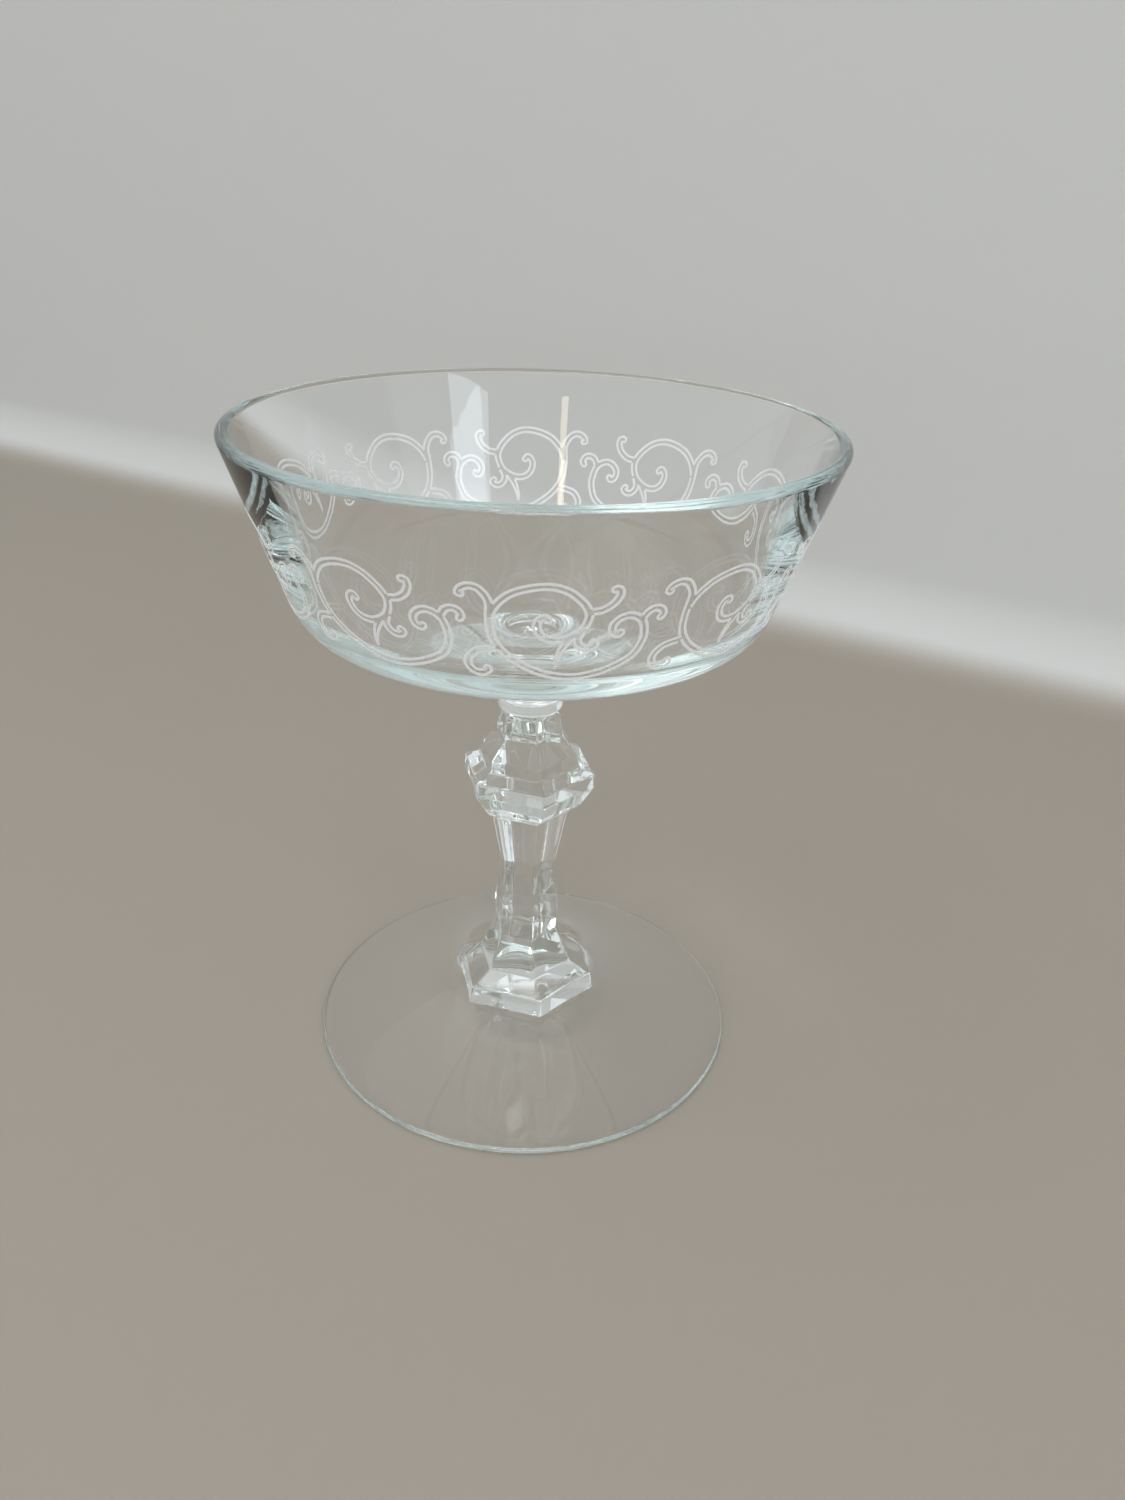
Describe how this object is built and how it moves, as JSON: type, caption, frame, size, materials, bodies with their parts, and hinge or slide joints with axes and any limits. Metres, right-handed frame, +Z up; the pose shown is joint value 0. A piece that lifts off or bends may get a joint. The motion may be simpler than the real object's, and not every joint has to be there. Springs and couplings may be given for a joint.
{
  "type": "stemmed coupe glass",
  "caption": "Clear glass coupe for cocktails: conical bowl with an etched scroll band, moulded six-sided stem, thin domed foot.",
  "frame": {"origin": "centre of the ring that the foot rests on, at table level", "axes": "+Z up along the glass's axis, towards the rim"},
  "size_m": [0.095, 0.095, 0.1126],
  "materials": {
    "clear_glass": "fire-polished clear soda glass with a faint cool tint",
    "etched_glass": "acid-etched white line on clear glass"
  },
  "bodies": {
    "root": {"bowl": "clear_glass", "merese": "clear_glass", "stem": "clear_glass", "foot": "clear_glass"}
  },
  "joints": []
}
